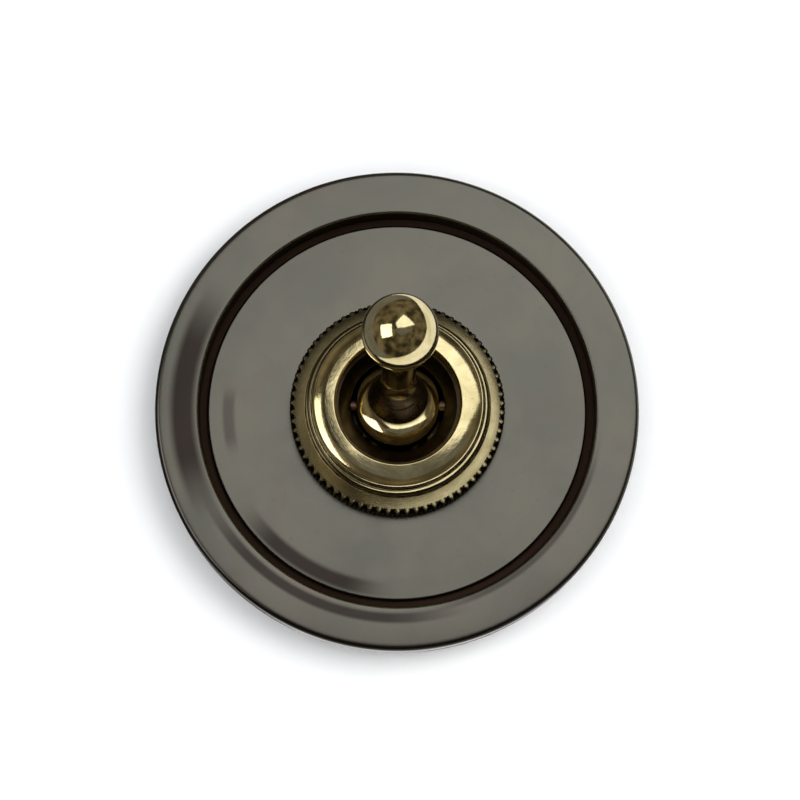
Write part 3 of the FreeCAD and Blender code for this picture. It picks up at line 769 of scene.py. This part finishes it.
def bridge():
    """Steel disc with the wall box's two slots, the long screws' holes and the earth screw's hole."""
    slot_r, half_run, slot_x = 2.1, 1.9, 30.0
    front, back = -2, 1                         # Y of the cutters' ends
    outline = [(BUSH_R + 0.2, BRIDGE_BACK, 0.1), (BRIDGE_R, BRIDGE_BACK, 0.15),
               (BRIDGE_R, BRIDGE_FRONT, 0.15), (BUSH_R + 0.2, BRIDGE_FRONT, 0.1)]
    obj = as_object(lathe(rounded(outline), FINE), "bridge_plate")
    tools = []
    for side in (-1, 1):
        x = side * slot_x
        tools.append(block((x - half_run, front, -slot_r), (x + half_run, back, slot_r)))
        for end in (x - half_run, x + half_run):
            tools.append(cylinder(slot_r, (end, front, 0), (end, back, 0)))
    earth = (low("earth_screw") + high("earth_screw")) / 2
    for x, z in [*CORNERS, (earth.x, earth.z)]:
        tools.append(cylinder(SCREW_R, (x, front, z), (x, back, z)))
    cut(obj, tools)
    return finish_piece(obj, FINISHES["zinc"], "mechanism", "mounting_bridge")


def housing_section(name, node, outline, tools):
    obj = as_object(lathe(rounded(outline), MEDIUM), name)
    cut(obj, tools)
    soften_edges(obj, 0.12)
    return finish_piece(obj, FINISHES["bakelite"], "mechanism", node)


def screw_holes(r, back, front):
    return [cylinder(r, (x, -back, z), (x, -front, z)) for x, z in CORNERS]


def terminal_places():
    """(unit vector, name) of each terminal's side of the housing."""
    return [(AXIS_Z, "upper"), (-AXIS_Z, "lower"), (AXIS_X, "common")]


def housing():
    """Front, barrel and rear plate of the moulded housing."""
    hole_r, edge, front_bore_r, flange_r = SCREW_R + 0.15, 0.35, 9.2, BUSH_FLANGE_R + 0.1
    seat, front = BUSH_BACK - 0.05, -low("housing_front").y
    housing_section("housing_front_body", "housing_front", [
        (front_bore_r, SPLIT_FRONT, 0.2), (HOUSING_R, SPLIT_FRONT, edge), (HOUSING_R, front, edge),
        (flange_r, front, 0.1), (flange_r, seat, 0.1), (front_bore_r, seat, 0.2)],
        screw_holes(hole_r, SPLIT_FRONT - OVERRUN, front + OVERRUN))

    well_half, side_half, well_reach, access_r = 7.2, 4, 21, 2.2
    back, top = depths("housing_barrel")
    front_y, back_y = -top - OVERRUN, -back + OVERRUN
    tools = [block((-well_half, front_y, -well_reach), (well_half, back_y, well_reach)),
             block((0, front_y, -side_half), (well_reach, back_y, side_half)),
             *screw_holes(hole_r, back - OVERRUN, top + OVERRUN)]
    for way, _ in terminal_places():
        at = Vector((0, -CAGE_DEPTH, 0))
        tools.append(cylinder(access_r, at + way * 20, at + way * 26))
    housing_section("housing_barrel_body", "housing_barrel", [
        (0, back, 0), (HOUSING_R, back, edge), (HOUSING_R, top, edge), (0, top, 0)], tools)

    wire_r, cage_slack = 1.9, Vector((0.06, 0.06, 0.06))
    tools = [*screw_holes(hole_r, HOUSING_BACK - OVERRUN, SPLIT_REAR + OVERRUN),
             *screw_holes(SCREW_HEAD_R + 0.2, HOUSING_BACK - OVERRUN, HOUSING_BACK + SCREW_SINK)]
    for way, name in terminal_places():
        cage = "terminal_cage_" + name
        tools.append(block(low(cage) - cage_slack, high(cage) + cage_slack))
        tools.append(cylinder(wire_r, way * CAGE_X + AXIS_Y * 26, way * CAGE_X + AXIS_Y * 32))
    housing_section("housing_rear_body", "housing_rear_plate", [
        (0, HOUSING_BACK, 0), (HOUSING_R, HOUSING_BACK, 0.8), (HOUSING_R, SPLIT_REAR, edge),
        (0, SPLIT_REAR, 0)], tools)


def long_screws():
    """Four cheese-head screws with ring-like threads near their tips, each slot stopped at its own angle."""
    seat, tip, head, pitch = HOUSING_BACK + SCREW_SINK, BRIDGE_FRONT, 2.0, 0.5
    top, thread_start, thread_end = seat - head, tip - 9.0, tip - 0.5
    crest_r, root_r = SCREW_R - 0.02, SCREW_R - 0.25
    slot_half_width, slot_depth, slot_reach = 0.42, 0.9, 4
    outline = [(0, top, 0), (SCREW_HEAD_R, top, 0.4), (SCREW_HEAD_R, seat, 0.1), (SCREW_R - 0.05, seat, 0)]
    for turn in range(int((thread_end - thread_start) / pitch)):
        at = thread_start + turn * pitch
        outline += [(crest_r, at, 0), (root_r, at + 0.5 * pitch, 0)]
    outline += [(crest_r, thread_end, 0), (SCREW_R - 0.3, tip, 0), (0, tip, 0)]
    joined = bmesh.new()
    for x, z in CORNERS:
        one = as_object(lathe(rounded(outline), COARSE), "screw")
        cut(one, [block((-slot_reach, -top - slot_depth, -slot_half_width),
                        (slot_reach, -top + OVERRUN, slot_half_width))])
        stopped_at = 0.9 * x + 0.4 * z
        one.data.transform(Matrix.Translation((x * MM, 0, z * MM)) @ Matrix.Rotation(stopped_at, 4, "Y"))
        joined.from_mesh(one.data)
        bpy.data.objects.remove(one)
    obj = as_object(joined, "long_screws")
    return finish_piece(obj, FINISHES["zinc"], "mechanism", "assembly_screws")


def finish_cad_nodes():
    """Give a finish to the CAD nodes that keep their own shape."""
    finishes = {
        "bush_spacer": "bush", "ring_washer": "fibre", "pivot_pin": "pin", "rocker_pin": "steel",
        "earth_clamp": "strip", "earth_screw": "bush", "rocker_cradle": "laminate",
        "contact_rocker": "strip", "rocker_tip_upper": "silver", "rocker_tip_lower": "silver",
        "common_terminal": "strip", "fixed_contact_upper": "strip", "fixed_contact_lower": "strip",
        "fixed_tip_upper": "silver", "fixed_tip_lower": "silver",
    }
    for _, name in terminal_places():
        finishes["terminal_cage_" + name] = "strip"
        finishes["terminal_screw_" + name] = "zinc"
    for node, finish in finishes.items():
        for slot in frame["nodes"][node].material_slots:
            slot.material = FINISHES[finish]


# ---------------------------------------------------------------- studio

def plain(name, tint):
    s = Surface(name, Roughness=0.8)
    s.set(Base_Color=tint)
    return s


def plane(name, size, place, material):
    bm = bmesh.new()
    bmesh.ops.create_grid(bm, x_segments=1, y_segments=1, size=size / 2)
    obj = as_object(bm, name)
    obj.matrix_world = place
    obj.data.materials.append(material)
    return obj


def open_sheet(name, outer_r, centre, rise, material):
    """Sheet in the wall plane from the plate's edge to an offset circle, whose far side rises by rise."""
    hole_r, start = 44 * MM, 3 * MM
    segments, way = 128, Vector((centre[0], 0, centre[1]))
    far = way.length + outer_r
    bm = bmesh.new()
    rings = []
    for r, middle in ((hole_r, Vector()), (outer_r, way)):
        ring = []
        for k in range(segments):
            angle = TURN * k / segments
            at = middle + Vector((math.cos(angle), 0, math.sin(angle))) * r
            ahead = max(0.0, at.dot(way.normalized())) / far
            ring.append(bm.verts.new(at + AXIS_Y * (start - rise * ahead)))
        rings.append(ring)
    for k in range(segments):
        n = (k + 1) % segments
        bm.faces.new((rings[0][k], rings[1][k], rings[1][n], rings[0][n]))
    obj = as_object(bm, name)
    obj.data.materials.append(material)
    return obj


def one_sided(surface):
    """Leave a stage surface out where it is seen from behind, so that it never hides the object's back."""
    nodes, links = surface.nodes, surface.links
    clear = nodes.new("ShaderNodeBsdfTransparent")
    side = nodes.new("ShaderNodeNewGeometry").outputs["Backfacing"]
    mixed = nodes.new("ShaderNodeMixShader")
    links.new(side, mixed.inputs[0])
    links.new(surface.shader.outputs[0], mixed.inputs[1])
    links.new(clear.outputs[0], mixed.inputs[2])
    out = next(n for n in nodes if n.type == "OUTPUT_MATERIAL")
    links.new(mixed.outputs[0], out.inputs["Surface"])
    return surface.material


def placed(name, data, place, way):
    """Light or camera at a place, looking along a direction."""
    obj = bpy.data.objects.new(name, data)
    obj.location = place
    obj.rotation_mode = "QUATERNION"
    obj.rotation_quaternion = way.to_track_quat("-Z", "Y")
    bpy.context.scene.collection.objects.link(obj)
    return obj


def area_light(name, place, size, power):
    """Square light that faces the origin."""
    data = bpy.data.lights.new(name, "AREA")
    data.shape, data.size, data.energy = "SQUARE", size, power
    obj = placed(name, data, place, -Vector(place))
    obj.visible_camera = False
    return obj


def towards(azimuth, elevation, distance):
    """Place at a distance from the origin. Azimuth 0 is straight in front and 90 is at +X, in degrees."""
    a, e = math.radians(azimuth), math.radians(elevation)
    return Vector((math.sin(a) * math.cos(e), -math.cos(a) * math.cos(e), math.sin(e))) * distance


def glow(name, strength):
    """White light of even strength."""
    material = bpy.data.materials.new(name)
    material.use_nodes = True
    nodes = material.node_tree.nodes
    nodes.clear()
    emission = nodes.new("ShaderNodeEmission")
    emission.inputs["Color"].default_value = rgb(1, 1, 1)
    emission.inputs["Strength"].default_value = strength
    out = nodes.new("ShaderNodeOutputMaterial")
    material.node_tree.links.new(emission.outputs[0], out.inputs["Surface"])
    return material


def seen_only_by(obj, *rays):
    """Hide the object from every kind of ray but these."""
    for ray in ("camera", "diffuse", "glossy", "transmission", "volume_scatter", "shadow"):
        setattr(obj, "visible_" + ray, ray in rays)


def softbox(name, place, size, strength):
    """Glowing square that faces the object, seen in reflections."""
    facing = (-place).to_track_quat("Z", "Y").to_matrix().to_4x4()
    card = plane(name, size, Matrix.Translation(place) @ facing, glow(name, strength))
    seen_only_by(card, "diffuse", "glossy")


def bounce_sheet(name, outer_r, centre, rise, strength):
    """White paper round the plate, seen only in the metal."""
    sheet = open_sheet(name, outer_r, centre, rise, glow(name, strength))
    seen_only_by(sheet, "glossy")


def lamp_sheet(name, corners, distance, strength):
    """Glowing sheet between (azimuth, elevation) directions, seen in reflections."""
    bm = bmesh.new()
    bm.faces.new([bm.verts.new(towards(*corner, distance)) for corner in corners])
    sheet = as_object(bm, name)
    sheet.data.materials.append(glow(name, strength))
    seen_only_by(sheet, "diffuse", "glossy")


def backdrop():
    """Pale surroundings for every view. Only the camera sees them, so they put no light on the object."""
    bm = bmesh.new()
    bmesh.ops.create_uvsphere(bm, u_segments=48, v_segments=24, radius=3.0)
    obj = as_object(bm, "backdrop")
    obj.data.materials.append(glow("pale_backdrop", 0.86))
    seen_only_by(obj, "camera")


def ambience():
    """Neutral fill for dull surfaces, and a dim olive room for reflections."""
    world = bpy.data.worlds.new("studio")
    bpy.context.scene.world = world
    world.use_nodes = True
    nodes, links = world.node_tree.nodes, world.node_tree.links
    fill = nodes["Background"]
    fill.inputs["Color"].default_value = rgb(0.93, 0.96, 1.0)
    fill.inputs["Strength"].default_value = 0.75
    things = nodes.new("ShaderNodeTexNoise")
    things.inputs["Scale"].default_value = 2.4
    things.inputs["Detail"].default_value = 2.0
    shade = nodes.new("ShaderNodeMapRange")
    for socket, value in zip(shade.inputs[1:5], (0.38, 0.64, 0.03, 0.17)):
        socket.default_value = value
    links.new(nodes.new("ShaderNodeTexCoord").outputs["Generated"], things.inputs["Vector"])
    links.new(things.outputs["Fac"], shade.inputs["Value"])
    room = nodes.new("ShaderNodeBackground")
    room.inputs["Color"].default_value = rgb(1.0, 0.84, 0.58)
    links.new(shade.outputs[0], room.inputs["Strength"])
    chosen = nodes.new("ShaderNodeMixShader")
    links.new(nodes.new("ShaderNodeLightPath").outputs["Is Glossy Ray"], chosen.inputs[0])
    links.new(fill.outputs[0], chosen.inputs[1])
    links.new(room.outputs[0], chosen.inputs[2])
    links.new(chosen.outputs[0], nodes["World Output"].inputs["Surface"])


def studio():
    """Wall, floor and surroundings, with the sheets and lamps that the metal reflects."""
    floor_z, wall_back = -0.12, 3 * MM
    wall = open_sheet("wall", 3.0, (0, 0), 0, one_sided(plain("white_wall", rgb(0.93, 0.93, 0.93))))
    wall.location.y = -wall_back
    floor = plane("floor", 6.0, Matrix.Translation((0, 0, floor_z)),
                  plain("pale_floor", rgb(0.82, 0.82, 0.81)).material)
    wall.visible_glossy = floor.visible_glossy = False
    backdrop()
    ambience()
    lamp_sheet("front_diamond", [(10, 39), (42, 9), (9, -1), (-9, -2), (-14, 12)], 1.15, 1.36)
    lamp_sheet("diamond_edge", [(-9, -2), (9, -1), (34, -6), (4, -24), (-22, -8)], 1.16, 0.13)
    softbox("left_window", towards(-44, -7, 1.1), 0.68, 2.4)
    bounce_sheet("paper_right", 0.42, (0.36, -0.17), 0.13, 1.0)
    bounce_sheet("paper_left", 0.35, (-0.3, 0.05), 0.012, 0.15)
    bounce_sheet("paper_near", 0.085, (-0.02, -0.03), 0, 0.7)
    key = area_light("key", (0.8, -1.0, 0.3), 0.9, 9.5)
    key.visible_glossy = False
    area_light("back_fill", (0.5, 0.9, 0.5), 0.8, 8)


def camera():
    """Long lens a little below and left of the plate's axis, looking up at it."""
    aim, away, distance = Vector((0.0006, 0, 0.0026)), towards(-1.0, -8.9, 1), 0.5485
    data = bpy.data.cameras.new("camera")
    data.lens, data.sensor_width = 131.2, 36
    bpy.context.scene.camera = placed("camera", data, aim + away * distance, -away)


bpy.context.scene.view_settings.view_transform = "Standard"
camera()
studio()
frame_ring()
inner_disc()
ring_nut()
bush()
hub()
knob()
plunger_rod()
coil_spring()
bridge()
housing()
long_screws()
finish_cad_nodes()

bpy.context.view_layer.update()
